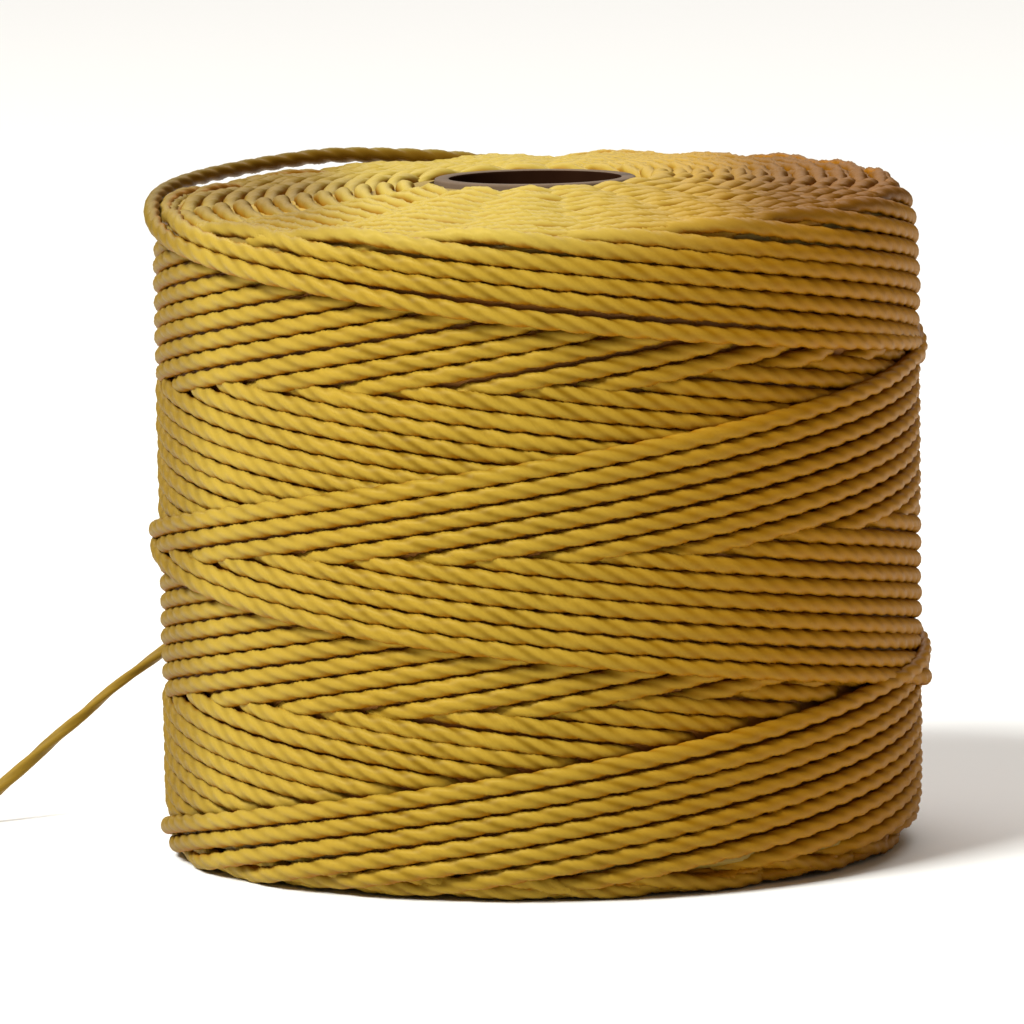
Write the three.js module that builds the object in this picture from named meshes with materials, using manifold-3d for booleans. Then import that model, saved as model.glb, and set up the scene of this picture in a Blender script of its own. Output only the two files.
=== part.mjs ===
// Beading cord: fine three-ply nylon cord, cross-wound on a small cardboard tube.
//
// Millimetres, +Z up. The origin is the middle of the face that the bobbin stands on, so +Z is the
// tube's own axis. Turn angles are measured about it, from the left side (-X), through the front (-Y)
// to the right side (+X), which is the way the cord was wound.

import * as THREE from "three";
import { mergeVertices } from "three/addons/utils/BufferGeometryUtils.js";
import Module from "manifold-3d";

// Driving dimensions of the bobbin.
const WINDING_RADIUS = 18.95;
const WINDING_HEIGHT = 33.3;
const CORE_RADIUS = 5.0;
const CORE_WALL = 0.7;
const CORE_RECESS = 0.3;
const FIT_GAP = 0.3;

// The cord: flattened where it is wound, rounder where it hangs free.
const TURN_DIAMETER = 0.84;
const FREE_DIAMETER = 0.65;
const LAYER_THICKNESS = 0.5;
const CORD_SIDES = 8;
const STEP_IN_DIAMETERS = 3;

// The newest turns of each kind, by their heights on the left side and their rise or fall in a turn.
// The last turn down was laid by hand, over the newest one that the guide laid.
const UP_LEAD = 15.2;
const DOWN_LEAD = 16.1;
const UP_TURN_AT_LEFT = 1.45;
const DOWN_TURN_AT_LEFT = 31.55;
const LAST_DOWN_TURN_AT_LEFT = 32.1;
const TURNS_TO_THE_TOP = 2;
const SIDE_BIAS = 0.2;
const TURN_PROUD = 0.1;
const CROSSING_RISE = 0.2;
const CROSSING_SHARE = 0.06;
const STEP_SHARE = 0.06;

// Wall grid of the winding and the shape of its two ends.
const SHOULDER_RADIUS = 1.5;
const SHOULDER_ROWS = 3;
const WALL_ROWS = 22;
const WINDING_SEGMENTS = 72;
const CORE_SEGMENTS = 40;
const CROWN_DROP = 0.6;

// Where the top turn stands off the winding, before it runs into the first turn down.
const LIFTED_TURN = [
  { degrees: 560, radius: 18.9, height: 25.9 },
  { degrees: 590, radius: 18.9, height: 28.9 },
  { degrees: 618, radius: 18.6, height: 31.8 },
  { degrees: 643, radius: 18.6, height: 33.1 },
  { degrees: 663, radius: 19.0, height: 33.4 },
  { degrees: 681, radius: 19.2, height: 33.1 },
  { degrees: 699, radius: 19.25, height: 32.7 },
  { degrees: 713, radius: 19.2, height: 32.1 },
  { degrees: 729, radius: 19.1, height: 31.5 },
];

// Where the last turn down is drawn down across the back, on its way to the loose end.
const DRAWN_DOWN_TURN = [
  { degrees: 920, radius: 18.95, height: 23.1 },
  { degrees: 940, radius: 19.1, height: 21.7 },
  { degrees: 960, radius: 19.2, height: 19.75 },
  { degrees: 980, radius: 19.25, height: 17.5 },
  { degrees: 995, radius: 19.3, height: 15.8 },
  { degrees: 1003, radius: 19.5, height: 14.85 },
];

// Where those tables take over from the regular turns, in degrees since the last turns up began, and
// the row of the lifted turn at which its rising and falling halves meet.
const LIFTED_TURN_JOIN = 4;
const FIRST_RISING_DEGREES = -19;
const LAST_RISING_DEGREES = 540;
const FIRST_FALLING_DEGREES = 752;
const LAST_FALLING_DEGREES = 900;
const ROUTE_STEP_DEGREES = 10;

// The newest turns down that the guide laid show where the last one has left their place.
const FIRST_OLDER_DEGREES = 935;
const LAST_OLDER_DEGREES = 1405;

// Where the turns start or end, buried in the layers beside them.
const BURIED_START = { degrees: -33, radius: 17.6, height: 1.2 };
const BURIED_OLDER_START = { degrees: 915, radius: 17.6, height: 23.0 };
const BURIED_OLDER_END = { degrees: 1420, radius: 17.6, height: 1.0 };

// The loose end: it clears the back of the winding, comes down to the left and lies on the surface.
const LOOSE_END_ROUTE = [
  { x: -7.0, y: 18.75, z: 13.9 },
  { x: -9.5, y: 18.1, z: 12.98 },
  { x: -12.5, y: 17.0, z: 11.72 },
  { x: -16.5, y: 14.9, z: 9.72 },
  { x: -19.76, y: 12.9, z: 7.84 },
  { x: -21.7, y: 11.8, z: 6.57 },
  { x: -23.7, y: 10.6, z: 5.02 },
  { x: -25.75, y: 9.5, z: 3.4 },
  { x: -27.75, y: 8.4, z: 1.75 },
  { x: -29.3, y: 7.5, z: 0.7 },
  { x: -31.0, y: 6.7, z: 0.37 },
  { x: -33.3, y: 5.9, z: 0.34 },
  { x: -36.0, y: 5.5, z: 0.34 },
  { x: -38.7, y: 5.8, z: 0.34 },
  { x: -41.2, y: 6.8, z: 0.34 },
];

const NYLON = { color: 0xc9a13c, roughness: 0.45, metalness: 0 };
const CARDBOARD = { color: 0x6b5648, roughness: 0.85, metalness: 0 };

const wasm = await Module();
wasm.setup();

const radians = (degrees) => THREE.MathUtils.degToRad(degrees);

function pointAt(angle, radius, height) {
  return new THREE.Vector3(-radius * Math.cos(angle), -radius * Math.sin(angle), height);
}

// Share of a full set of turns laid since this spot was covered: 0 under the newest turn.
function shareSince(turns) {
  return turns - Math.floor(turns);
}

// The guide moves a little faster past the left side of each turn than past the right.
function guideTurns(angle) {
  return (angle + SIDE_BIAS * Math.sin(angle)) / (2 * Math.PI);
}

function ageOfUpTurns(angle, height) {
  return shareSince(guideTurns(angle) - (height - UP_TURN_AT_LEFT) / UP_LEAD);
}

function ageOfDownTurns(angle, height) {
  return shareSince(guideTurns(angle) - (DOWN_TURN_AT_LEFT - height) / DOWN_LEAD);
}

// Share of one cord layer on this spot: 1 beside the newest turn, falling to 0 as the turns get older.
// The step between the two is eased, because the newest turn covers it.
function layerShare(age) {
  if (age < STEP_SHARE) {
    return 1 - age - 0.5 * (1 - age / STEP_SHARE);
  }
  if (age > 1 - STEP_SHARE) {
    return 1 - age + 0.5 * (1 - (1 - age) / STEP_SHARE);
  }
  return 1 - age;
}

function surfaceRadius(angle, height) {
  const layers = layerShare(ageOfUpTurns(angle, height)) + layerShare(ageOfDownTurns(angle, height));
  return WINDING_RADIUS + LAYER_THICKNESS * (layers - 1);
}

// Closed outline of half the winding, from the bore's foot round by the outside. The wall and the
// shoulders carry the relief of the turns, the two ends and the bore carry none.
function windingOutline() {
  const bore = CORE_RADIUS + FIT_GAP;
  const rimHeight = WINDING_HEIGHT - CROWN_DROP;
  const outline = [{ radius: bore, height: 0, relief: 0 }];
  for (let row = 0; row <= SHOULDER_ROWS; row += 1) {
    const turn = (Math.PI / 2) * (row / SHOULDER_ROWS);
    const radius = WINDING_RADIUS - SHOULDER_RADIUS * (1 - Math.sin(turn));
    outline.push({ radius, height: SHOULDER_RADIUS * (1 - Math.cos(turn)), relief: row / SHOULDER_ROWS });
  }
  const wallHeight = rimHeight - 2 * SHOULDER_RADIUS;
  for (let row = 1; row < WALL_ROWS; row += 1) {
    const height = SHOULDER_RADIUS + wallHeight * (row / WALL_ROWS);
    outline.push({ radius: WINDING_RADIUS, height, relief: 1 });
  }
  for (let row = 0; row <= SHOULDER_ROWS; row += 1) {
    const turn = (Math.PI / 2) * (row / SHOULDER_ROWS);
    const radius = WINDING_RADIUS - SHOULDER_RADIUS * (1 - Math.cos(turn));
    const height = rimHeight - SHOULDER_RADIUS * (1 - Math.sin(turn));
    outline.push({ radius, height, relief: 1 - row / SHOULDER_ROWS });
  }
  outline.push({ radius: bore, height: WINDING_HEIGHT, relief: 0 });
  outline.push(outline[0]);
  return outline;
}

function latheAboutZ(outline, segments) {
  const profile = outline.map((station) => new THREE.Vector2(station.radius, station.height));
  const geometry = new THREE.LatheGeometry(profile, segments);
  geometry.rotateX(Math.PI / 2);
  return geometry;
}

// The wound body before its last turns: a turned shape whose wall follows the layers of turns.
function drumGeometry() {
  const outline = windingOutline();
  const geometry = latheAboutZ(outline, WINDING_SEGMENTS);
  const position = geometry.attributes.position;
  for (let index = 0; index < position.count; index += 1) {
    const { radius, height, relief } = outline[index % outline.length];
    const angle = Math.atan2(-position.getY(index), -position.getX(index));
    const layered = radius + relief * (surfaceRadius(angle, height) - WINDING_RADIUS);
    const vertex = pointAt(angle, layered, height);
    position.setXYZ(index, vertex.x, vertex.y, vertex.z);
  }
  return geometry;
}

function cordSection(diameter) {
  const corners = [];
  for (let side = 0; side < CORD_SIDES; side += 1) {
    const turn = (2 * Math.PI * side) / CORD_SIDES;
    corners.push(new THREE.Vector2(Math.cos(turn), Math.sin(turn)).multiplyScalar(diameter / 2));
  }
  return new THREE.Shape(corners);
}

function cordGeometry(points, diameter) {
  const route = new THREE.CatmullRomCurve3(points);
  const steps = Math.ceil(route.getLength() / (STEP_IN_DIAMETERS * diameter));
  return new THREE.ExtrudeGeometry(cordSection(diameter), {
    steps,
    bevelEnabled: false,
    extrudePath: route,
  });
}

// A wound turn's centre line, sunk so that only its outer side stands proud of the layers beside it.
function turnRadius(crossedAge, rise) {
  const distance = Math.min(crossedAge, 1 - crossedAge);
  const crossing = Math.max(0, 1 - distance / CROSSING_SHARE);
  const layers = LAYER_THICKNESS * layerShare(crossedAge);
  return WINDING_RADIUS + layers + TURN_PROUD - TURN_DIAMETER / 2 + rise * crossing;
}

function upTurnPoint(degrees) {
  const angle = radians(degrees);
  const height = UP_TURN_AT_LEFT + UP_LEAD * guideTurns(angle);
  return pointAt(angle, turnRadius(ageOfDownTurns(angle, height), CROSSING_RISE), height);
}

function turnsDown(angle) {
  return guideTurns(angle) - TURNS_TO_THE_TOP;
}

function lastDownTurnPoint(degrees) {
  const angle = radians(degrees);
  const height = LAST_DOWN_TURN_AT_LEFT - DOWN_LEAD * turnsDown(angle);
  return pointAt(angle, turnRadius(ageOfUpTurns(angle, height), CROSSING_RISE), height);
}

function olderDownTurnPoint(degrees) {
  const angle = radians(degrees);
  const height = DOWN_TURN_AT_LEFT - DOWN_LEAD * turnsDown(angle);
  return pointAt(angle, turnRadius(ageOfUpTurns(angle, height), 0), height);
}

function tablePoint({ degrees, radius, height }) {
  return pointAt(radians(degrees), radius, height);
}

function turnPoints(pointOfDegrees, fromDegrees, toDegrees) {
  const count = Math.round((toDegrees - fromDegrees) / ROUTE_STEP_DEGREES);
  const points = [];
  for (let index = 0; index <= count; index += 1) {
    points.push(pointOfDegrees(fromDegrees + (index * (toDegrees - fromDegrees)) / count));
  }
  return points;
}

// Up the winding from the lower end, then the first half of the lifted turn.
function risingCord() {
  const start = tablePoint(BURIED_START);
  const wound = turnPoints(upTurnPoint, FIRST_RISING_DEGREES, LAST_RISING_DEGREES);
  const lifted = LIFTED_TURN.slice(0, LIFTED_TURN_JOIN + 1).map(tablePoint);
  return [start, ...wound, ...lifted];
}

function looseEndPoints() {
  return LOOSE_END_ROUTE.map(({ x, y, z }) => new THREE.Vector3(x, y, z));
}

// The wound cord stops a fit gap before the loose end, in line with it.
function lastWoundPoint() {
  const [start, next] = looseEndPoints();
  const backwards = new THREE.Vector3().subVectors(start, next).normalize();
  return start.addScaledVector(backwards, FIT_GAP);
}

// The rest of the lifted turn, half a turn down the front, and down across the back of the winding.
function fallingCord() {
  const lifted = LIFTED_TURN.slice(LIFTED_TURN_JOIN).map(tablePoint);
  const wound = turnPoints(lastDownTurnPoint, FIRST_FALLING_DEGREES, LAST_FALLING_DEGREES);
  return [...lifted, ...wound, ...DRAWN_DOWN_TURN.map(tablePoint), lastWoundPoint()];
}

// The turns down before that, from behind the last one to the lower end.
function olderFallingCord() {
  const wound = turnPoints(olderDownTurnPoint, FIRST_OLDER_DEGREES, LAST_OLDER_DEGREES);
  return [tablePoint(BURIED_OLDER_START), ...wound, tablePoint(BURIED_OLDER_END)];
}

function toManifold(geometry) {
  const bare = geometry.clone();
  bare.deleteAttribute("normal");
  bare.deleteAttribute("uv");
  const merged = mergeVertices(bare, 1e-4);
  const vertProperties = new Float32Array(merged.attributes.position.array);
  const triVerts = new Uint32Array(merged.index.array);
  return new wasm.Manifold(new wasm.Mesh({ numProp: 3, vertProperties, triVerts }));
}

function toGeometry(solid) {
  const mesh = solid.getMesh();
  const geometry = new THREE.BufferGeometry();
  geometry.setAttribute("position", new THREE.BufferAttribute(mesh.vertProperties, mesh.numProp));
  geometry.setIndex(new THREE.BufferAttribute(mesh.triVerts, 1));
  geometry.computeVertexNormals();
  return geometry;
}

function piece(name, geometry, finish) {
  const mesh = new THREE.Mesh(geometry, new THREE.MeshStandardMaterial(finish));
  mesh.name = name;
  return mesh;
}

// Paper tube that the cord is wound on, open at both ends.
function coreTube() {
  const inner = CORE_RADIUS - CORE_WALL;
  const top = WINDING_HEIGHT - CORE_RECESS;
  const outline = [
    { radius: inner, height: CORE_RECESS },
    { radius: CORE_RADIUS, height: CORE_RECESS },
    { radius: CORE_RADIUS, height: top },
    { radius: inner, height: top },
    { radius: inner, height: CORE_RECESS },
  ];
  return piece("core_tube", latheAboutZ(outline, CORE_SEGMENTS), CARDBOARD);
}

// All the wound cord as one body, with the last turns standing on it at their real size.
function winding() {
  const drum = toManifold(drumGeometry());
  const rising = toManifold(cordGeometry(risingCord(), TURN_DIAMETER));
  const falling = toManifold(cordGeometry(fallingCord(), TURN_DIAMETER));
  const olderFalling = toManifold(cordGeometry(olderFallingCord(), TURN_DIAMETER));
  const wound = drum.add(rising).add(falling).add(olderFalling);
  return piece("winding", toGeometry(wound), NYLON);
}

function looseEnd() {
  return piece("loose_end", cordGeometry(looseEndPoints(), FREE_DIAMETER), NYLON);
}

const bobbin = new THREE.Group();
bobbin.add(coreTube(), winding(), looseEnd());

export default bobbin;
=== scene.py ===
"""Looks of a bobbin of beading cord: fine three-ply nylon cord, cross-wound on a small cardboard tube.

Metres, +Z up, and the origin is the middle of the face that the bobbin stands on. Turn angles are
measured about the tube's own axis, from the left side (-X), through the front (-Y) to the right side
(+X), which is the way the cord was wound.
"""

import math

import bmesh
import bpy
import numpy as np
from mathutils import Matrix, Vector


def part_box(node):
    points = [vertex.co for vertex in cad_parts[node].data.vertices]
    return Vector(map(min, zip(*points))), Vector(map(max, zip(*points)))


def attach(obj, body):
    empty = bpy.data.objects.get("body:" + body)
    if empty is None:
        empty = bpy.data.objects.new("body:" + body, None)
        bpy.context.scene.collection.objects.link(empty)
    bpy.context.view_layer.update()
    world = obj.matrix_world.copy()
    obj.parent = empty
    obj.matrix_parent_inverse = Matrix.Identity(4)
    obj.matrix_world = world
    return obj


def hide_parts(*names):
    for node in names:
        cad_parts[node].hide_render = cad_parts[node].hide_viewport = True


bl_info = {
    "name": "Bobbin of beading cord",
    "version": (1, 0, 0),
    "blender": (4, 5, 0),
    "location": "3D View > Sidebar > Bobbin",
    "description": "Builds a cross-wound bobbin of three-ply beading cord on its cardboard tube",
    "category": "Add Mesh",
}

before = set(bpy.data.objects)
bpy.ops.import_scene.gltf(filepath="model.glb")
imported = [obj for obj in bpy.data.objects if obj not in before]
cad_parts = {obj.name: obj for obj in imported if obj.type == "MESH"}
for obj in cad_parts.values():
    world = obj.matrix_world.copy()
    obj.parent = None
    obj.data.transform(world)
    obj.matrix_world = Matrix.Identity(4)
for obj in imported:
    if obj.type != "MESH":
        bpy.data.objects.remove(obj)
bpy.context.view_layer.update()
TUBE_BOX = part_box("core_tube")
BODY = "root"
MM = 0.001
TURN = 2 * math.pi

# The winding: where the middles of its cords lie, under the layers that show and at the two ends, how
# the upper end tilts and rises to the tube, and how the wall draws in to both ends.
INNERMOST_RADIUS = 18.11 * MM
LOWEST = 0.45 * MM
HIGHEST = 32.4 * MM
RIM_TILT = {"front": -0.42 * MM, "right": 0.35 * MM}
CROWN_RISE = 0.85 * MM
BORE_RADIUS = 5.3 * MM
RIM_ZONE = 1.2 * MM
SHOULDER_HEIGHT = 3.0 * MM
SHOULDER_DROP = 0.5 * MM

# The lanes of the newest turn up, the newest turn down by the guide, and the last one laid by hand:
# their height at the left, how far they climb in a turn, how much they stray from an even climb
# at the front and at the right, and how many turns lie side by side before a layer is full. A layer
# took its span of time to lay, and its newest turn was laid since.
UP_LANE = {
    "left": 1.65 * MM, "climb": 14.9 * MM, "front": 0.7 * MM, "right": 0.6 * MM,
    "turns": 16.7, "span": 1.115, "since": -0.019}
DOWN_LANE = {
    "left": 32.0 * MM, "climb": -16.18 * MM, "front": 0.25 * MM, "right": 0.31 * MM,
    "turns": 19.25, "span": 1.0, "since": 0.019}
HAND_LANE = {"left": 32.58 * MM, "climb": -15.8 * MM, "front": -0.62 * MM, "right": 0.15 * MM}

# The tube: its wall, how far it stands above the simple one, and the rounding of its edges.
TUBE_WALL = 0.75 * MM
TUBE_RISE = 0.3 * MM
TUBE_ROUNDING = 0.12 * MM
TUBE_STEPS = 96

# How closely the wound cords are followed, and how stiff the cord is where it turns or climbs.
STEP = math.radians(1.0)
STEP_LENGTH = 19.0 * MM * STEP
TURNING_REACH = 2.5 * MM / STEP_LENGTH
CLIMBING_REACH = 1.2 * MM / STEP_LENGTH
TIP_LIFT = 0.25 * MM
TIP_REACH = 3.5 * MM
LEAD_IN = math.radians(24)

# The passes of the guide from which on turns count as older ones.
FIRST_OLDER_UP = 7
FIRST_OLDER_DOWN = 6

# How the ends of a stretch of cord go in under the turns beside them, and over how many steps a
# cord drifts out and in, and up and down.
BURIED_STEPS = 9
DIVE = 1.1 * MM
RADIUS_DRIFT_STEPS = 20
HEIGHT_DRIFT_STEPS = 30

# The last turns: up from the lower end, over the top at the back, and half a turn down the front.
# Degrees count on from where they pass the left side first, and the one that was laid by hand passes
# it two turns later. As it was lifted over the top, nothing covers the start of the turn before it.
LAST_RISING_DEGREES = 540
FIRST_FALLING_DEGREES = 774
LAST_FALLING_DEGREES = 900
TURNS_BEFORE_HAND = 2
LAST_TURN_RAISE = 0.1
BARE_DEGREES = 60
LIFTED_TURN = (
    {"degrees": 560, "radius": 18.9 * MM, "height": 26.4 * MM},
    {"degrees": 590, "radius": 18.9 * MM, "height": 28.9 * MM},
    {"degrees": 618, "radius": 18.7 * MM, "height": 31.6 * MM},
    {"degrees": 643, "radius": 18.7 * MM, "height": 32.9 * MM},
    {"degrees": 663, "radius": 19.0 * MM, "height": 33.33 * MM},
    {"degrees": 681, "radius": 19.0 * MM, "height": 33.02 * MM},
    {"degrees": 699, "radius": 19.0 * MM, "height": 32.72 * MM},
    {"degrees": 713, "radius": 18.98 * MM, "height": 32.42 * MM},
    {"degrees": 720, "radius": 18.98 * MM, "height": 32.12 * MM},
    {"degrees": 726, "radius": 19.0 * MM, "height": 31.78 * MM},
    {"degrees": 732, "radius": 19.03 * MM, "height": 31.42 * MM},
    {"degrees": 739, "radius": 19.05 * MM, "height": 31.05 * MM},
    {"degrees": 745, "radius": 19.07 * MM, "height": 30.8 * MM},
    {"degrees": 750, "radius": 19.08 * MM, "height": 30.62 * MM},
    {"degrees": 755, "radius": 19.09 * MM, "height": 30.4 * MM},
    {"degrees": 765, "radius": 19.1 * MM, "height": 29.94 * MM},
)
DRAWN_DOWN_TURN = (
    {"degrees": 920, "radius": 19.45 * MM, "height": 23.1 * MM},
    {"degrees": 940, "radius": 19.5 * MM, "height": 21.7 * MM},
    {"degrees": 960, "radius": 19.5 * MM, "height": 19.75 * MM},
    {"degrees": 980, "radius": 19.5 * MM, "height": 17.5 * MM},
    {"degrees": 995, "radius": 19.5 * MM, "height": 15.8 * MM},
    {"degrees": 1003, "radius": 19.65 * MM, "height": 14.85 * MM},
    {"degrees": 1010.5, "radius": 20.01 * MM, "height": 13.9 * MM},
)

# The stretch of the last turn with painted shade, darker than the rest, from faint to full and back.
SHADED_STRETCH_DEGREES = (600, 630, 705, 745)

# The last stretch of the last turn, in which it thins from wound cord to free cord.
THINNING_LENGTH = 9 * MM

# A cord's section: its plies, how narrow the grooves between them are, and its corners, the most
# where the whole outline shows and the fewest on the winding's two ends.
PLIES = 3
GROOVE_POWER = 3
LONE_SIDES = 18
WOUND_SIDES = 12
END_SIDES = 9

# How much more painted shade the underside of a wound cord gets than its upper side.
UNDERSIDE = 0.2

# The loose end, from where it leaves the winding at the back to its tip on the surface at the left.
LOOSE_END_ROUTE = (
    (-0.00700, 0.01875, 0.01390),
    (-0.00950, 0.01810, 0.01298),
    (-0.01250, 0.01700, 0.01172),
    (-0.01650, 0.01490, 0.00972),
    (-0.01976, 0.01290, 0.00784),
    (-0.02170, 0.01180, 0.00657),
    (-0.02370, 0.01060, 0.00502),
    (-0.02575, 0.00950, 0.00340),
    (-0.02775, 0.00840, 0.00175),
    (-0.02930, 0.00750, 0.00070),
    (-0.03100, 0.00670, 0.00037),
    (-0.03330, 0.00590, 0.00034),
    (-0.03600, 0.00550, 0.00034),
    (-0.03870, 0.00580, 0.00034),
    (-0.04120, 0.00680, 0.00034),
)
LOOSE_STEPS_PER_SPAN = 8
LOOSE_TWIST_LENGTH = 11 * MM

# Where the loose end is thicker and thinner than its usual width, as its plies have opened.
LOOSE_THICKNESS = (
    {"along": 0.0 * MM, "share": 1.0},
    {"along": 13.0 * MM, "share": 1.2},
    {"along": 17.0 * MM, "share": 0.78},
    {"along": 21.0 * MM, "share": 0.95},
    {"along": 26.0 * MM, "share": 1.08},
    {"along": 41.0 * MM, "share": 1.0},
)

# Two ends of the winding: coils of short arcs, each the turning point of one pass of the guide. A
# coil holds a layer up and a layer down. The newest turns bring their own turning points, so the
# first arcs are left out, and the other arcs of the outer coils have their ends buried.
COILS = 13
OUTER_COILS = 2
LAYERS_PER_COIL = 2
ARCS_PER_COIL = 18
FIRST_ARC = 14
ARC_HALF = math.radians(22)
ARC_STEP = math.radians(1.4)
ARC_ROUNDING = math.radians(6)
ARC_SWING = math.radians(5)
ARC_SCATTER = 0.02
BORE_MARGIN = 0.4
END_TURN_LEAD = 15.8 * MM

# The body of older layers: its rows up the wall and steps round, and how far it stays inside the
# turns that show, in half cord widths and, on the wall, in layers.
BODY_ROWS = 72
BODY_STEPS = 180
BODY_INSET = {"bottom": 1.2, "top": 0.5, "wall": 0.6, "foot": 2.0, "brow": 0.4}
WALL_ZONE = 0.5
WALL_INSET_LAYERS = 0.2

# The nylon's filaments: how often they change along a millimetre of cord, and round the cord.
FILAMENTS_ALONG = 0.35
FILAMENTS_ROUND = 26.0

# Where painted light and shade change the nylon's colour over the bobbin. Painted light falls on the
# left side along X and on the top up Z. Painted shade falls on the right side along X, on the top's
# left and right sides up Z and out from the middle by X squared, at the far left along X, with the
# tint that it multiplies in, and in to the turns below. A change starts at one value, is full at
# another, and has its share there.
RIGHT_SHADE_ACROSS = {"start": -2 * MM, "full": 17 * MM, "share": 0.9}
LEFT_LIGHT_ACROSS = {"start": -6 * MM, "full": -18 * MM, "share": 0.45}
TOP_LIGHT_UP = {"start": 30.5 * MM, "full": 32.5 * MM, "share": 0.9}
FAR_LEFT_SHADE_ACROSS = {"start": -15.5 * MM, "full": -18.5 * MM, "share": 0.8}
TOP_SIDES_SHADE_UP = {"start": 31.4 * MM, "full": 32.6 * MM, "share": 1.0}
TOP_SIDES_SHADE_OUT = {"start": 49 * MM**2, "full": 144 * MM**2, "share": 1.0}
SHADED_IN = {"start": 0.12, "full": 0.62, "share": 0.9}
PAINTED_SHADE_TINT = (0.5, 0.42, 0.34, 1.0)

# Where the older layers show between the arcs of the two ends, instead of between turns, in the cord's
# own colour instead of the painted gap shade.
TOP_SHOWS = (30.0 * MM, 31.0 * MM)
BOTTOM_SHOWS = (2.5 * MM, 1.8 * MM)

# The tube's paper: how often its seam comes round in a metre, and the seam's share of a turn.
SEAMS_PER_METRE = 90.0
SEAM_SHARE = 0.04
# Painted shade inside the tube: the lining's two very dark colours, which the paper's own marks vary
# between.
SHADED_LINING_DEEP = (0.012, 0.004, 0.002, 1.0)
SHADED_LINING_PALE = (0.03, 0.012, 0.006, 1.0)

# The camera: where it stands, what it looks at, its roll and its lens.
CAMERA_DISTANCE = 400 * MM
CAMERA_AIM = Vector((-1.38 * MM, 0, 16.6 * MM))
CAMERA_PITCH = math.radians(6.96)
CAMERA_ROLL = math.radians(-0.83)
CAMERA_LENS = 282.7
SENSOR = 36.0
NEAREST_SEEN = 0.01

# The stage: the floor, the light from all round, and two soft lamps that point at the bobbin.
FLOOR_SIZE = 3.0
SKY_COLOUR = (1.0, 0.84, 0.62, 1.0)
SKY_STRENGTH = 0.2
LAMP_AIM = Vector((0, 0, 0.016))
LAMPS = (
    {"name": "key_light", "place": Vector((-0.38, -0.34, 0.58)),
     "size": 0.25, "power": 8.7, "colour": (0.97, 1.0, 0.97)},
    {"name": "floor_light", "place": Vector((0.0, 1.1, 1.8)),
     "size": 2.4, "power": 38.0, "colour": (1.0, 1.0, 1.0)},
)

# Seeds of the random draws. The groups of turns, and the two ends, count on from their first seed.
LOOSE_END_SEED = 11
LAST_ROUTE_SEED = 21
LAST_TURNS_SEED = 22
FIRST_TURNS_SEED = 31
FIRST_END_SEED = 41


class BobbinSettings(bpy.types.PropertyGroup):
    """Sizes and colours that a user would change."""

    cord_width: bpy.props.FloatProperty(
        name="Cord width", description="Width of a wound cord", default=0.9 * MM,
        min=0.2 * MM, max=3 * MM, precision=5, subtype="DISTANCE", unit="LENGTH")
    free_width: bpy.props.FloatProperty(
        name="Free cord width", description="Width of the cord where it hangs free", default=0.65 * MM,
        min=0.2 * MM, max=3 * MM, precision=5, subtype="DISTANCE", unit="LENGTH")
    twist_length: bpy.props.FloatProperty(
        name="Twist length", description="Length of cord in which a ply goes once round",
        default=4.3 * MM, min=1 * MM, max=20 * MM, precision=5, subtype="DISTANCE", unit="LENGTH")
    layer_thickness: bpy.props.FloatProperty(
        name="Layer thickness", description="What one layer of turns adds to the radius",
        default=0.5 * MM, min=0.1 * MM, max=2 * MM, precision=5, subtype="DISTANCE", unit="LENGTH")
    flattening: bpy.props.FloatProperty(
        name="Flattening", description="Thickness of a wound cord as a share of its width",
        default=0.86, min=0.3, max=1.0, subtype="FACTOR")
    ply_depth: bpy.props.FloatProperty(
        name="Ply depth", description="Depth of the grooves between plies, as a share of the radius",
        default=0.21, min=0.0, max=0.5, subtype="FACTOR")
    unevenness: bpy.props.FloatProperty(
        name="Unevenness", description="How far wound cords stray from their lanes",
        default=0.04 * MM, min=0.0, max=0.5 * MM, precision=6, subtype="DISTANCE", unit="LENGTH")
    cord_colour: bpy.props.FloatVectorProperty(
        name="Cord colour", description="Colour of the nylon on the crowns of the plies",
        default=(0.385, 0.24, 0.024), min=0.0, max=1.0, subtype="COLOR")
    # Painted light: the lighter colour that the left side and the top are painted with.
    painted_light_colour: bpy.props.FloatVectorProperty(
        name="Faded colour", description="Colour of the nylon on the side that has faded most",
        default=(0.43, 0.31, 0.055), min=0.0, max=1.0, subtype="COLOR")
    # Painted shade: the deeper colour that the right side is painted with.
    right_shade_colour: bpy.props.FloatVectorProperty(
        name="Unfaded colour", description="Colour of the nylon on the side that has faded least",
        default=(0.33, 0.13, 0.0005), min=0.0, max=1.0, subtype="COLOR")
    # Painted shade in the grooves between the plies.
    groove_shade_colour: bpy.props.FloatVectorProperty(
        name="Groove colour", description="Colour of the nylon between the plies",
        default=(0.17, 0.088, 0.002), min=0.0, max=1.0, subtype="COLOR")
    # Painted shade in the gaps between turns and on the undersides of wound cords, also the colour of
    # the layers below.
    gap_shade_colour: bpy.props.FloatVectorProperty(
        name="Gap colour", description="Colour of the nylon between the turns",
        default=(0.3, 0.11, 0.001), min=0.0, max=1.0, subtype="COLOR")
    cardboard_colour: bpy.props.FloatVectorProperty(
        name="Cardboard colour", description="Colour of the paper tube",
        default=(0.10, 0.062, 0.036), min=0.0, max=1.0, subtype="COLOR")
    floor_colour: bpy.props.FloatVectorProperty(
        name="Floor colour", description="Colour of the surface that the bobbin stands on",
        default=(0.9, 0.9, 0.9), min=0.0, max=1.0, subtype="COLOR")
    light_strength: bpy.props.FloatProperty(
        name="Light strength", description="Brightness of all the studio's lights together",
        default=1.0, min=0.0, max=10.0)


# Routes of the wound cord.


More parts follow.
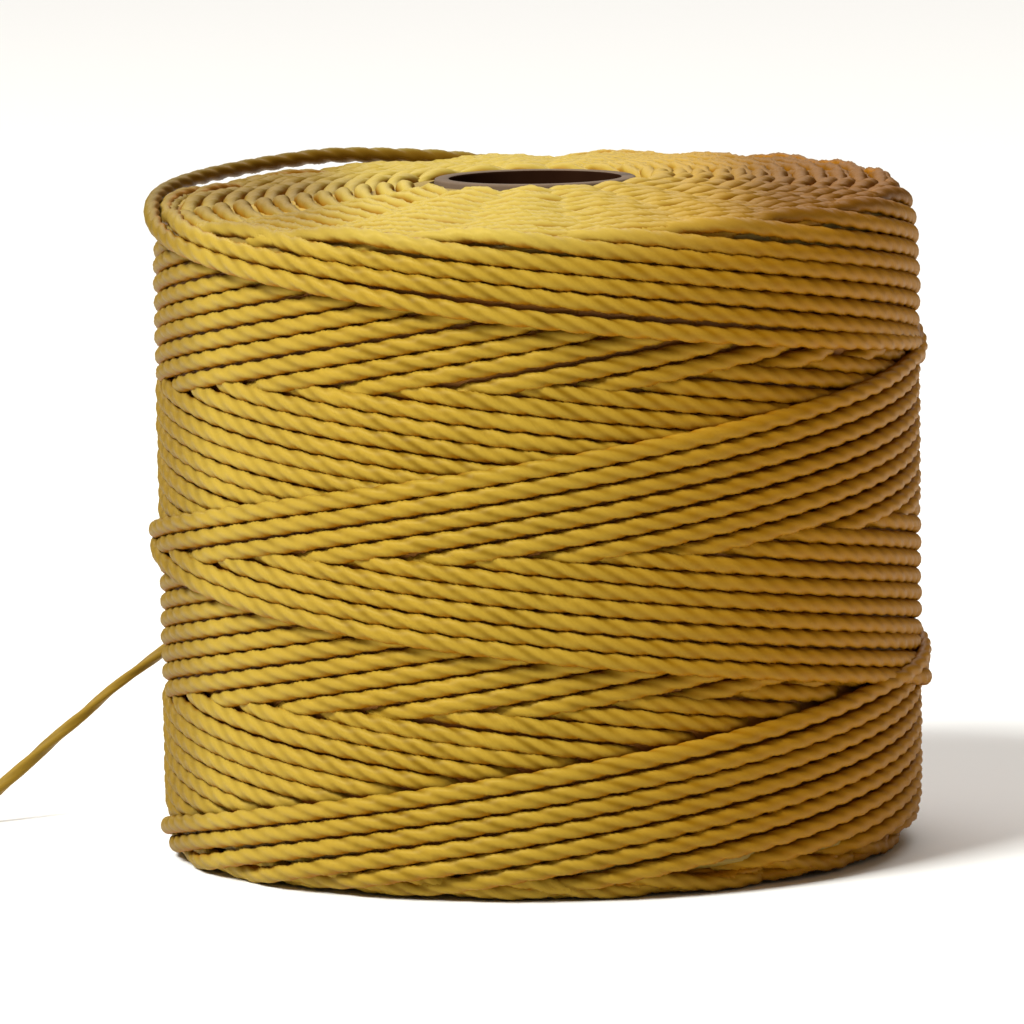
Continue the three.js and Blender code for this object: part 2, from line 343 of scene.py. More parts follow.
class Route:
    """A wound cord's middle line, by the angle, radius and height of each of its points."""

    def __init__(self, angle, radius, height):
        self.angle = angle
        self.radius = radius
        self.height = height

    def span(self, first, last):
        return Route(self.angle[first:last], self.radius[first:last], self.height[first:last])

    def points(self):
        across = -self.radius * np.cos(self.angle)
        along = -self.radius * np.sin(self.angle)
        return np.column_stack((across, along, self.height))


def stray(lane, angle):
    """How far a lane strays from an even climb at an angle."""
    return lane["front"] * np.sin(angle) - lane["right"] * np.cos(angle)


def lane_height(lane, angle, turns):
    """Height in a lane at an angle, some turns of the guide after the newest one."""
    return lane["left"] + lane["climb"] * (angle / TURN - turns) + stray(lane, angle)


def age(lane, angle, height):
    """Share of a layer laid since a turn of this lane passed this spot."""
    return np.mod(angle / TURN - (height - lane["left"] - stray(lane, angle)) / lane["climb"], 1)


def time_ago(lane, share):
    """How long ago a turn of this lane was laid, after a share of the layer."""
    return share * lane["span"] + lane["since"]


def end_height(top, angle):
    """Height of the middle of the cord where it turns back at one end of the winding."""
    return HIGHEST + stray(RIM_TILT, angle) if top else LOWEST + 0 * angle


def turning_angle(lane, turns, top):
    """The angle at which a lane reaches one of its two ends."""
    angles = np.arange(-TURN, 5 * TURN, STEP)
    climbed = np.sign(lane["climb"]) * (lane_height(lane, angles, turns) - end_height(top, angles))
    return float(np.interp(0, climbed, angles))


def smoothed(values, reach):
    """The values with a bell curve run over them, whose reach is in steps."""
    side = math.ceil(3 * reach)
    weights = np.exp(-0.5 * (np.arange(-side, side + 1) / reach) ** 2)
    padded = np.pad(values, side, mode="reflect", reflect_type="odd")
    return np.convolve(padded, weights / weights.sum(), mode="valid")


def wander(random, count, reach, amount):
    """A slow drift to either side, because no cord lies quite true."""
    drift = smoothed(random.normal(size=count + 1), reach)[:count]
    return amount * drift / (drift.std() + 1e-12)


def shoulder(height):
    """How far the winding draws in near its two ends."""
    from_end = np.minimum(height - LOWEST, HIGHEST - height)
    return SHOULDER_DROP * np.clip(1 - from_end / SHOULDER_HEIGHT, 0, 1) ** 2


def tip_bump(angle, start):
    """Share of the tip's lift that is left at some way from where the guide turned."""
    return np.exp(-(((angle - start) * INNERMOST_RADIUS / TIP_REACH) ** 2))


def laid_turns(number, rising, settings, random):
    """The turns that one pass of the guide laid, and which of their points show.

    Passes are numbered back in time from 0, the newest. A pass lies over all older ones, so a turn up
    is hidden where a newer turn down crosses it, and a turn down also where its own turn up does.
    """
    lane, crossing_lane = (UP_LANE, DOWN_LANE) if rising else (DOWN_LANE, UP_LANE)
    share = number / lane["turns"]
    start = turning_angle(lane, share, not rising)
    angle = np.arange(start - LEAD_IN, turning_angle(lane, share, rising), STEP)
    foot = end_height(not rising, angle)
    height = foot + np.sign(lane["climb"]) * np.abs(lane_height(lane, angle, share) - foot)
    before = angle < start

    # The age falls from 1 to 0 where this pass goes in under the newest turn that crosses it.
    crossed = age(crossing_lane, angle, height)
    covered = np.flatnonzero(np.diff(crossed) < -0.5)
    last = covered[-1] + 1 if len(covered) and number else len(angle)
    nearest = np.round(crossed * crossing_lane["turns"]) / crossing_lane["turns"]
    hidden = before | (time_ago(crossing_lane, nearest) < time_ago(lane, share))
    if number == 1 and not rising:
        hidden &= np.degrees(angle) > BARE_DEGREES
    under_last_turn = (number == 0) & (not rising) & (angle > 0)
    under_last_turn &= np.degrees(angle) < LAST_FALLING_DEGREES - 360 * TURNS_BEFORE_HAND
    layers = (1 - share) + (1 - crossed) - hidden
    radius = smoothed(INNERMOST_RADIUS + settings.layer_thickness * layers, CLIMBING_REACH)
    height = smoothed(height, TURNING_REACH)
    height += (-TIP_LIFT if rising else TIP_LIFT) * tip_bump(angle, start)
    radius -= shoulder(height)
    radius += wander(random, len(angle), RADIUS_DRIFT_STEPS, 0.5 * settings.unevenness)
    height += wander(random, len(angle), HEIGHT_DRIFT_STEPS, settings.unevenness)
    height = np.maximum(height, LOWEST)
    shows = (~hidden | before) & ~under_last_turn
    return Route(angle, radius, height).span(0, last), shows[:last]


def stretches(mask, margin):
    """First and one past last index of each unbroken run of the mask, with a margin at both ends."""
    widened = np.convolve(mask, np.ones(2 * margin + 1), mode="same") > 0.5
    edges = np.flatnonzero(np.diff(np.concatenate(([0], widened.astype(int), [0]))))
    return edges.reshape(-1, 2)


def dived(route):
    """The route with both ends drawn in, so that they go in under the turns beside them."""
    steps = np.arange(len(route.angle))
    from_end = np.minimum(steps, steps[::-1])
    drawn_in = DIVE * np.clip(1 - from_end / BURIED_STEPS, 0, 1) ** 2
    return Route(route.angle, route.radius - drawn_in, route.height)


def visible_turns(numbers, rising, settings, random):
    """The stretches of the numbered passes that newer turns leave in view."""
    routes = []
    for number in numbers:
        route, shows = laid_turns(number, rising, settings, random)
        routes += [dived(route.span(first, last)) for first, last in stretches(shows, BURIED_STEPS)]
    return routes


def table_columns(table):
    """The degrees, radii and heights in a table of places on a turn."""
    return [[row[name] for row in table] for name in ("degrees", "radius", "height")]


def last_turns(settings, random):
    """The newest cord as one route: up the winding, over the lifted turn, down the front and away."""
    rising, _ = laid_turns(0, True, settings, random)
    kept = np.degrees(rising.angle) < LAST_RISING_DEGREES
    falling = np.radians(np.arange(FIRST_FALLING_DEGREES, LAST_FALLING_DEGREES))
    falling_height = lane_height(HAND_LANE, falling, TURNS_BEFORE_HAND)
    layers = 2 - age(UP_LANE, falling, falling_height) + LAST_TURN_RAISE
    falling_radius = INNERMOST_RADIUS + settings.layer_thickness * layers
    lengths = (
        (np.degrees(rising.angle[kept]), rising.radius[kept], rising.height[kept]),
        table_columns(LIFTED_TURN),
        (np.degrees(falling), falling_radius, falling_height),
        table_columns(DRAWN_DOWN_TURN),
    )
    known, radii, heights = (np.concatenate(column) for column in zip(*lengths))
    degrees = np.arange(known[0], known[-1] + 1)
    radius = smoothed(np.interp(degrees, known, radii), CLIMBING_REACH)
    height = smoothed(np.interp(degrees, known, heights), CLIMBING_REACH)
    return Route(np.radians(degrees), radius, np.maximum(height, LOWEST))


def end_arcs(top, settings, random):
    """The turning points that make up one end of the winding, from the rim in to the bore."""
    lane = DOWN_LANE if top else UP_LANE
    routes = []
    for number in range(FIRST_ARC, COILS * ARCS_PER_COIL):
        share = number / ARCS_PER_COIL
        radius = INNERMOST_RADIUS + LAYERS_PER_COIL * settings.layer_thickness * (1 - share)
        if radius < BORE_RADIUS - settings.cord_width:
            break
        middle = turning_angle(lane, share % 1, top) + random.normal(0, ARC_SCATTER)
        swing = np.arange(-ARC_HALF, ARC_HALF, ARC_STEP)
        droop = np.sqrt(swing**2 + ARC_ROUNDING**2) - ARC_ROUNDING
        inwards = 0.5 * settings.layer_thickness * (1 - np.tanh(swing / ARC_SWING))
        inner_share = min(1, 1 - (radius - BORE_RADIUS) / (INNERMOST_RADIUS - BORE_RADIUS))
        crown = CROWN_RISE * inner_share - inner_share * stray(RIM_TILT, middle)
        radii = np.maximum(radius - inwards, BORE_RADIUS + BORE_MARGIN * settings.cord_width)
        radii += random.normal(0, settings.unevenness)
        sunk = END_TURN_LEAD * droop / TURN + random.uniform(0, settings.unevenness)
        height = end_height(top, middle + swing) + (crown - sunk if top else sunk)
        arc = Route(middle + swing, radii, height)
        routes.append(dived(arc) if share < OUTER_COILS else arc)
    return routes


def curve_through(route, steps_per_span):
    """Points of a smooth curve through the route's points."""
    known = np.array(route)
    ends = np.vstack((2 * known[0] - known[1], known, 2 * known[-1] - known[-2]))
    share = np.arange(steps_per_span)[:, None] / steps_per_span
    spans = []
    for before, start, stop, after in zip(ends, ends[1:], ends[2:], ends[3:]):
        bend = 2 * before - 5 * start + 4 * stop - after
        twist = 3 * start - 3 * stop + after - before
        spans.append(start + 0.5 * share * (stop - before + share * (bend + share * twist)))
    return np.vstack((*spans, known[-1:]))


# Making cords out of routes.


def random_from(seed):
    return np.random.default_rng(seed)


def link(obj):
    """Puts an object in the scene, and gives it back."""
    bpy.context.scene.collection.objects.link(obj)
    return obj


def ply_section(sides, depth):
    """Outline of a three-ply cord of radius 1, as a curve that a route is bevelled with."""
    curve = bpy.data.curves.new("ply_section", "CURVE")
    curve.dimensions = "2D"
    spline = curve.splines.new("POLY")
    spline.points.add(sides - 1)
    angles = TURN * np.arange(sides) / sides
    radii = 1 - depth * np.abs(np.sin(0.5 * PLIES * angles)) ** GROOVE_POWER
    flat = np.zeros(sides)
    corners = np.column_stack((radii * np.cos(angles), radii * np.sin(angles), flat, flat + 1))
    spline.points.foreach_set("co", corners.ravel())
    spline.use_cyclic_u = True
    return link(bpy.data.objects.new("ply_section", curve))


def lengths_along(points):
    """How far along a line each of its points lies."""
    steps = np.linalg.norm(np.diff(points, axis=0), axis=1)
    return np.concatenate(([0], np.cumsum(steps)))


def cord_object(name, lines, widths, twist_length, settings, random, sides, outwards=None,
                painted_darkness=None):
    """Sweeps a three-ply section along each line of points and closes its ends.

    A width is given for each line, or for each of its points. Wound cord is pressed flat against the
    way outwards, a direction for each point. The UV map called cord holds the length along the cord in
    millimetres, and the way round it from 0 to 1 and with the plies. The one called shade holds the
    share of painted shade toward the gaps and on the underside, from 0 outside to 1 against the turns
    below, and how much painted shade darkens the cord along its length there.
    """
    section = ply_section(sides, settings.ply_depth)
    curve = bpy.data.curves.new(name, "CURVE")
    curve.dimensions = "3D"
    curve.twist_mode = "Z_UP"
    curve.bevel_mode = "OBJECT"
    curve.bevel_object = section
    alongs = []
    for points, width in zip(lines, widths):
        spline = curve.splines.new("POLY")
        count = len(points)
        spline.points.add(count - 1)
        spline.points.foreach_set("co", np.column_stack((points, np.ones(count))).ravel())
        along = lengths_along(points)
        phase = random.uniform(0, TURN)
        spline.points.foreach_set("tilt", phase + TURN * along / twist_length)
        spline.points.foreach_set("radius", np.full(count, 0.5) * width)
        alongs.append(along)
    swept = link(bpy.data.objects.new(name + "_curve", curve))
    mesh = bpy.data.meshes.new_from_object(swept.evaluated_get(bpy.context.evaluated_depsgraph_get()))
    mesh.name = name
    bpy.data.objects.remove(swept)
    bpy.data.objects.remove(section)

    rings = np.concatenate(lines)
    flank_shade = np.zeros((len(rings), sides))
    if outwards is not None:
        flank_shade = press_flat(mesh, rings, outwards, sides, settings.flattening)
    dark = np.zeros(len(rings)) if painted_darkness is None else painted_darkness
    map_cord(mesh, np.concatenate(alongs), flank_shade, dark)
    close_ends(mesh)
    return link(bpy.data.objects.new(name, mesh))


def press_flat(mesh, rings, outwards, sides, flattening):
    """Presses wound cord against the turns below, and gives each corner of it its share of painted
    shade.

    The underside of a turn on the side of the winding gets more painted shade than its upper side.
    """
    corners = np.empty(len(mesh.vertices) * 3, np.float32)
    mesh.vertices.foreach_get("co", corners)
    corners = corners.reshape(-1, sides, 3)
    offsets = corners - rings[:, None, :]
    proud = np.einsum("rsk,rk->rs", offsets, outwards)
    corners = corners - (1 - flattening) * proud[..., None] * outwards[:, None, :]
    mesh.vertices.foreach_set("co", corners.astype(np.float32).ravel())
    from_above = offsets[:, :, 2] / np.abs(offsets[:, :, 2]).max(axis=1, keepdims=True)
    sideways = 1 - np.abs(outwards[:, None, 2])
    return 0.5 - 0.5 * proud / proud.max(axis=1, keepdims=True) - UNDERSIDE * sideways * from_above


def write_uv(layer, name, first, second):
    """Names a UV map and fills it from two arrays."""
    layer.name = name
    layer.data.foreach_set("uv", np.stack((first, second), axis=-1).astype(np.float32).ravel())


def map_cord(mesh, along, flank_shade, dark):
    """Writes the UV maps: vertices come ring by ring, and the last face of a ring closes it at 1."""
    sides = flank_shade.shape[1]
    vertex = np.empty(len(mesh.loops), np.int32)
    mesh.loops.foreach_get("vertex_index", vertex)
    ring, side = np.divmod(vertex.reshape(-1, 4), sides)
    closing = (side.max(axis=1) - side.min(axis=1)) > 1
    side = np.where(closing[:, None] & (side == 0), sides, side)
    write_uv(mesh.uv_layers.active or mesh.uv_layers.new(), "cord", along[ring] / MM, side / sides)
    write_uv(mesh.uv_layers.new(), "shade", flank_shade[ring, side % sides], dark[ring])


def close_ends(mesh):
    """Caps the open ends of cords, and smooths all but the caps."""
    shell = bmesh.new()
    shell.from_mesh(mesh)
    open_edges = [edge for edge in shell.edges if edge.is_boundary]
    bmesh.ops.holes_fill(shell, edges=open_edges, sides=0)
    for face in shell.faces:
        face.smooth = len(face.verts) == 4
    shell.to_mesh(mesh)
    shell.free()


def finish_piece(obj, material, node):
    """Gives a piece its material and its place among the part's pieces."""
    obj.data.materials.append(material)
    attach(obj, BODY)
    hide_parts(node)


def wound_piece(name, routes, settings, random, sides=WOUND_SIDES, upwards=0, painted_darkness=None,
                widths=None):
    """A piece of wound cord; upwards is 1 or -1 where it is pressed down or up on an end."""
    lines = [route.points() for route in routes]
    widths = widths or [settings.cord_width] * len(lines)
    rings = np.concatenate(lines)
    outwards = rings * (1, 1, 0) / np.hypot(rings[:, 0], rings[:, 1])[:, None]
    outwards[:, 2] = np.interp(rings[:, 2], (0, RIM_ZONE, HIGHEST - RIM_ZONE, HIGHEST), (-1, 0, 0, 1))
    if upwards:
        outwards[:] = (0, 0, upwards)
    outwards /= np.linalg.norm(outwards, axis=1, keepdims=True)
    obj = cord_object(name, lines, widths, settings.twist_length, settings, random, sides, outwards,
                      painted_darkness)
    finish_piece(obj, cord_material(settings), "winding")


# Materials.


class Number:
    """A shader number. Arithmetic on it adds the Math nodes that work it out."""

    def __init__(self, tree, socket):
        self.tree = tree
        self.socket = socket

    def __add__(self, other):
        return self.tree.math("ADD", self, other)

    def __sub__(self, other):
        return self.tree.math("SUBTRACT", self, other)

    def __rsub__(self, other):
        return self.tree.math("SUBTRACT", other, self)

    def __mul__(self, other):
        return self.tree.math("MULTIPLY", self, other)

    def __pow__(self, other):
        return self.tree.math("POWER", self, other)

    __radd__ = __add__
    __rmul__ = __mul__


class Added:
    """A node that was added to a tree, for reading its outputs."""

    def __init__(self, tree, node):
        self.tree = tree
        self.node = node

    def number(self, output):
        return Number(self.tree, self.node.outputs[output])


class Tree:
    """A material's node tree with one surface shader."""

    def __init__(self, name):
        self.material = bpy.data.materials.new(name)
        self.material.use_nodes = True
        self.nodes = self.material.node_tree.nodes
        self.links = self.material.node_tree.links
        self.nodes.clear()

    def add(self, kind, settings=None, inputs=None):
        """Adds a node: its settings come first, then the values or links of its sockets."""
        node = self.nodes.new(kind)
        for key, value in (settings or {}).items():
            setattr(node, key, value)
        for key, value in (inputs or {}).items():
            if isinstance(value, Number):
                self.links.new(value.socket, node.inputs[key])
            else:
                node.inputs[key].default_value = value
        return Added(self, node)

    def math(self, operation, *values):
        inputs = dict(enumerate(values))
        return self.add("ShaderNodeMath", {"operation": operation}, inputs).number("Value")

    def place(self):
        """Where a spot lies on the bobbin, in metres."""
        return self.add("ShaderNodeTexCoord").number("Object")

    def uv(self, name):
        return self.add("ShaderNodeUVMap", {"uv_map": name}).number("UV")

    def split(self, vector):
        """The three numbers of a vector."""
        parts = self.add("ShaderNodeSeparateXYZ", None, {"Vector": vector})
        return [parts.number(axis) for axis in "XYZ"]

    def noise(self, vector, scale, detail, roughness, dimensions="3D"):
        """A cloudy pattern of numbers around a half."""
        inputs = {"Vector": vector, "Scale": scale, "Detail": detail, "Roughness": roughness}
        settings = {"noise_dimensions": dimensions}
        return self.add("ShaderNodeTexNoise", settings, inputs).number("Fac")

    def mix(self, share, first, second, blend="MIX"):
        """Colour between the first and the second, by a share from 0 to 1."""
        settings = {"data_type": "RGBA", "blend_type": blend}
        return self.add("ShaderNodeMix", settings, {0: share, 6: first, 7: second}).number(2)

    def ramp(self, value, start, stop, course="SMOOTHSTEP"):
        """Share that goes from 0 where the value is at the start to 1 at the stop."""
        settings = {"interpolation_type": course}
        inputs = {"Value": value, "From Min": start, "From Max": stop}
        return self.add("ShaderNodeMapRange", settings, inputs).number("Result")

    def change(self, value, course):
        """Share of a change of colour at a value, by where the change starts and is full."""
        return self.ramp(value, course["start"], course["full"]) * course["share"]

    def bump(self, height, strength, distance):
        inputs = {"Strength": strength, "Distance": distance, "Height": height}
        return self.add("ShaderNodeBump", None, inputs).number("Normal")

    def surface(self, inputs):
        """Ends the tree with a shader, and gives back the material."""
        shader = self.add("ShaderNodeBsdfPrincipled", None, inputs).number("BSDF")
        self.add("ShaderNodeOutputMaterial", None, {"Surface": shader})
        return self.material


def toned(colour, strength=1.0):
    """A setting's colour, made darker or lighter by a factor, with the opacity that a node wants."""
    return (*(min(part * strength, 1) for part in colour), 1.0)


def cord_material(settings):
    """Satin nylon: fine filaments along the cord, with painted shade where two plies meet, between the
    turns and on undersides, and painted light and shade over the bobbin.
    """
    if "satin_nylon" in bpy.data.materials:
        return bpy.data.materials["satin_nylon"]
    tree = Tree("satin_nylon")
    spot = tree.place()
    x, _, z = tree.split(spot)
    along, round_cord, _ = tree.split(tree.uv("cord"))
    flank_shade, dark, _ = tree.split(tree.uv("shade"))

    straight = round_cord + along * (MM / settings.twist_length)
    filaments = tree.add("ShaderNodeCombineXYZ", None, {
        "X": along * FILAMENTS_ALONG, "Y": straight * FILAMENTS_ROUND})
    streaks = tree.noise(filaments.number("Vector"), 1.0, 3.0, 0.6, "2D")
    patches = tree.noise(spot, 420.0, 3.0, 0.6)
    # Painted shade: the grooves between the plies are painted darker.
    groove = 0.5 - 0.5 * tree.math("COSINE", round_cord * (PLIES * TURN))
    crowns = tree.mix(streaks, toned(settings.cord_colour, 0.88), toned(settings.cord_colour, 1.1))
    uneven = tree.mix((patches - 0.35) * 1.2, crowns, toned(settings.cord_colour, 0.75))
    plies = tree.mix(groove ** 2.0 * (patches * 2.2 - 0.45), uneven, toned(settings.groove_shade_colour))

    # Painted light: the left side and the top are painted lighter.
    painted_light_share = tree.math("MAXIMUM", tree.change(x, LEFT_LIGHT_ACROSS), tree.change(z, TOP_LIGHT_UP))
    painted_light = tree.mix(painted_light_share, plies, toned(settings.painted_light_colour))
    # Painted shade: the right side is painted deeper.
    right_shaded = tree.mix(tree.change(x, RIGHT_SHADE_ACROSS), painted_light, toned(settings.right_shade_colour))
    # Painted shade: the top's left and right sides and the far left are painted darker.
    top_sides_shade = tree.change(z, TOP_SIDES_SHADE_UP) * tree.change(x * x, TOP_SIDES_SHADE_OUT)
    side_shade_share = tree.math("MAXIMUM", top_sides_shade, tree.change(x, FAR_LEFT_SHADE_ACROSS))
    side_shaded = tree.mix(side_shade_share, right_shaded, PAINTED_SHADE_TINT, "MULTIPLY")
    # Painted shade toward the gaps between turns and on the undersides.
    shaded = tree.mix(tree.change(flank_shade, SHADED_IN), side_shaded, toned(settings.gap_shade_colour))
    return tree.surface({
        # Painted shade on the stretch of the last turn that is drawn darker.
        "Base Color": tree.mix(dark * 0.7, shaded, toned(settings.cord_colour, 0.3)),
        "Roughness": 0.36 + streaks * 0.2,
        "Normal": tree.bump(streaks, 0.35, 0.03 * MM),
        "IOR": 1.5,
        "Specular IOR Level": 0.2,
        "Specular Tint": (1.0, 0.78, 0.35, 1.0)})


def shaded_cord_material(settings):
    """The layers under the ones that show, seen only through the gaps between turns, painted with the
    gap shade colour except near the two ends.
    """
    tree = Tree("nylon_below")
    spot = tree.place()
    _, _, z = tree.split(spot)
    bands = tree.add("ShaderNodeTexWave", {"bands_direction": "Z"}, {
        "Vector": spot, "Scale": 180.0, "Distortion": 1.5, "Detail": 2.0}).number("Fac")
    # Painted shade: the gap shade colour, in bands.
    deep = tree.mix(bands, toned(settings.gap_shade_colour, 0.8), toned(settings.gap_shade_colour, 1.2))
    laid = tree.mix(bands, toned(settings.cord_colour, 0.6), toned(settings.cord_colour))
    shown = tree.ramp(z, *TOP_SHOWS, "LINEAR") + tree.ramp(z, *BOTTOM_SHOWS, "LINEAR")
    return tree.surface({
        "Base Color": tree.mix(shown, deep, laid),
        "Roughness": 0.7,
        "Normal": tree.bump(bands, 0.5, 0.1 * MM)})


def cardboard_material(settings):
    """Grey-brown paper, wound in a spiral whose edge shows as a fine line."""
    tree = Tree("wound_paper")
    spot = tree.place()
    x, y, z = tree.split(spot)
    turned = tree.math("ARCTAN2", y, x) * (1 / TURN)
    seam = tree.math("LESS_THAN", tree.math("FRACT", turned + z * SEAMS_PER_METRE), SEAM_SHARE)
    fibres = tree.noise(spot, 1500.0, 6.0, 0.7)
    patches = tree.noise(spot, 300.0, 3.0, 0.5)
    paper = tree.mix(
        fibres, toned(settings.cardboard_colour, 0.6), toned(settings.cardboard_colour, 1.5))
    worn = tree.mix((patches - 0.35) * 1.2, paper, toned(settings.cardboard_colour, 1.9))
    return tree.surface({
        "Base Color": tree.mix(seam * 0.6, worn, toned(settings.cardboard_colour, 0.3)),
        "Roughness": 0.75 + fibres * 0.2,
        "Normal": tree.bump(fibres - seam * 0.8, 0.5, 0.05 * MM)})


def shaded_lining_material():
    """The inside of the tube: painted shade in very dark paper colours, with the marks of the rod it
    was wound on.
    """
    tree = Tree("tube_lining_shade")
    marks = tree.noise(tree.place(), 400.0, 4.0, 0.6)
    return tree.surface({
        "Base Color": tree.mix(marks, SHADED_LINING_DEEP, SHADED_LINING_PALE),
        "Roughness": 0.9,
        "Specular IOR Level": 0.0})


def floor_material(settings):
    """A plain pale surface with hardly any grain."""
    tree = Tree("floor")
    grain = tree.noise(tree.place(), 400.0, 3.0, 0.5)
    colour = tree.mix(grain, toned(settings.floor_colour), toned(settings.floor_colour, 0.99))
    return tree.surface({
        "Base Color": colour,
        "Roughness": 0.9,
        "Specular IOR Level": 0.1})


# Turned shapes.


def spun(corners, steps):
    """A closed shape turned about the tube's axis, from the corners of half its section."""
    shell = bmesh.new()
    vertices = [shell.verts.new((radius, 0, height)) for radius, height in corners]
    edges = [shell.edges.new(pair) for pair in zip(vertices, vertices[1:] + vertices[:1])]
    bmesh.ops.spin(shell, geom=vertices + edges, cent=(0, 0, 0), axis=(0, 0, 1), angle=TURN,
                   steps=steps, use_merge=True, use_duplicate=False)
    bmesh.ops.recalc_face_normals(shell, faces=shell.faces)
    return shell


def mesh_object(name, shell):
    """Turns a bmesh into an object of its own."""
    mesh = bpy.data.meshes.new(name)
    shell.to_mesh(mesh)
    shell.free()
    return link(bpy.data.objects.new(name, mesh))


def body_section(rim, half):
    """Half the section of the body of older layers, by radius and height, from the bore's foot."""
    bottom = LOWEST + BODY_INSET["bottom"] * half
    top = HIGHEST - BODY_INSET["top"] * half
    wall = [(rim, bottom + (top - bottom) * row / BODY_ROWS) for row in range(1, BODY_ROWS)]
    return [
        (BORE_RADIUS, bottom), (rim - BODY_INSET["foot"] * half, bottom), *wall,
        (rim - BODY_INSET["brow"] * half, top), (BORE_RADIUS, top + CROWN_RISE)]


def follow_layers(shell, rim, half, layer_thickness):
    """Tilts the body's upper end as the rim is, and sets its wall by the layers on each spot."""
    for vertex in shell.verts:
        x, y, z = vertex.co
        angle = math.atan2(-y, -x)
        from_axis = math.hypot(x, y)
        if z > 0.5 * HIGHEST:
            outer_share = (from_axis - BORE_RADIUS) / (INNERMOST_RADIUS - BORE_RADIUS)
            z += outer_share * stray(RIM_TILT, angle) * (2 * z / HIGHEST - 1)
        scale = 1
        if from_axis > rim - WALL_ZONE * half:
            layers = 2 - float(age(UP_LANE, angle, z)) - float(age(DOWN_LANE, angle, z))
            outwards = layer_thickness * max(0, layers - WALL_INSET_LAYERS) - float(shoulder(z))
            scale = 1 + outwards / rim
        vertex.co = (x * scale, y * scale, z)


# The operators, one for each piece or group of like pieces.


class BOBBIN_OT_camera(bpy.types.Operator):
    """Places the camera"""

    bl_idname = "bobbin.camera"
    bl_label = "Place camera"

    def execute(self, context):
        data = bpy.data.cameras.new("camera")
        data.lens = CAMERA_LENS
        data.sensor_width = SENSOR
        data.clip_start = NEAREST_SEEN
        camera = link(bpy.data.objects.new("camera", data))
        back = Vector((0, -math.cos(CAMERA_PITCH), math.sin(CAMERA_PITCH)))
        place = Matrix.Translation(CAMERA_AIM + back * CAMERA_DISTANCE)
        upright = (-back).to_track_quat("-Z", "Y").to_matrix().to_4x4()
        camera.matrix_world = place @ upright @ Matrix.Rotation(CAMERA_ROLL, 4, "Z")
        context.scene.camera = camera
        return {"FINISHED"}


class BOBBIN_OT_loose_end(bpy.types.Operator):
    """Lays the loose end of the cord from the back of the winding to the surface at the left"""

    bl_idname = "bobbin.loose_end"
    bl_label = "Add loose end"

    def execute(self, context):
        settings = context.scene.bobbin
        points = curve_through(LOOSE_END_ROUTE, LOOSE_STEPS_PER_SPAN)
        along = lengths_along(points)
        shares = np.interp(along, [row["along"] for row in LOOSE_THICKNESS],
                           [row["share"] for row in LOOSE_THICKNESS])
        obj = cord_object("loose_end_cord", [points], [settings.free_width * shares],
                          LOOSE_TWIST_LENGTH, settings, random_from(LOOSE_END_SEED), LONE_SIDES)
        finish_piece(obj, cord_material(settings), "loose_end")
        return {"FINISHED"}


class BOBBIN_OT_last_turns(bpy.types.Operator):
    """Winds the newest cord, from the lower end up, over the top and down to where it leaves"""

    bl_idname = "bobbin.last_turns"
    bl_label = "Add last turns"

    def execute(self, context):
        settings = context.scene.bobbin
        route = last_turns(settings, random_from(LAST_ROUTE_SEED))
        # Painted shade along the stretch of the last turn that is drawn darker.
        painted_darkness = np.interp(np.degrees(route.angle), SHADED_STRETCH_DEGREES, (0, 1, 1, 0))
        along = lengths_along(route.points())
        widths = np.interp(along[-1] - along, (0, THINNING_LENGTH),
                           (settings.free_width, settings.cord_width))
        wound_piece("last_turns", [route], settings, random_from(LAST_TURNS_SEED), LONE_SIDES,
                    painted_darkness=painted_darkness, widths=[widths])
        return {"FINISHED"}


class BOBBIN_OT_wound_turns(bpy.types.Operator):
    """Winds the older turns, as far as newer ones leave them in view"""

    bl_idname = "bobbin.wound_turns"
    bl_label = "Add wound turns"

    def execute(self, context):
        settings = context.scene.bobbin
        passes_up = math.ceil(UP_LANE["turns"])
        passes_down = math.ceil(DOWN_LANE["turns"])
        groups = (
            ("turns_up_newer", True, range(1, FIRST_OLDER_UP)),
            ("turns_up_older", True, range(FIRST_OLDER_UP, passes_up)),
            ("turns_down_newer", False, range(0, FIRST_OLDER_DOWN)),
            ("turns_down_older", False, range(FIRST_OLDER_DOWN, passes_down)),
        )
        for seed, (name, rising, numbers) in enumerate(groups, start=FIRST_TURNS_SEED):
            random = random_from(seed)
            routes = visible_turns(numbers, rising, settings, random)
            wound_piece(name, routes, settings, random)
        return {"FINISHED"}


class BOBBIN_OT_winding_ends(bpy.types.Operator):
    """Fills the winding's two ends with the turning points of older layers"""

    bl_idname = "bobbin.winding_ends"
    bl_label = "Add winding's ends"

    def execute(self, context):
        settings = context.scene.bobbin
        ends = (("top_end", True), ("bottom_end", False))
        for seed, (name, top) in enumerate(ends, start=FIRST_END_SEED):
            random = random_from(seed)
            routes = end_arcs(top, settings, random)
            wound_piece(name, routes, settings, random, END_SIDES, 1 if top else -1)
        return {"FINISHED"}


class BOBBIN_OT_inner_layers(bpy.types.Operator):
    """Adds the body of older layers under the turns that show"""

    bl_idname = "bobbin.inner_layers"
    bl_label = "Add inner layers"

    def execute(self, context):
        settings = context.scene.bobbin
        half = 0.5 * settings.cord_width
        rim = INNERMOST_RADIUS - BODY_INSET["wall"] * half
        shell = spun(body_section(rim, half), BODY_STEPS)
        follow_layers(shell, rim, half, settings.layer_thickness)
        obj = mesh_object("inner_layers", shell)
        finish_piece(obj, shaded_cord_material(settings), "winding")
        return {"FINISHED"}


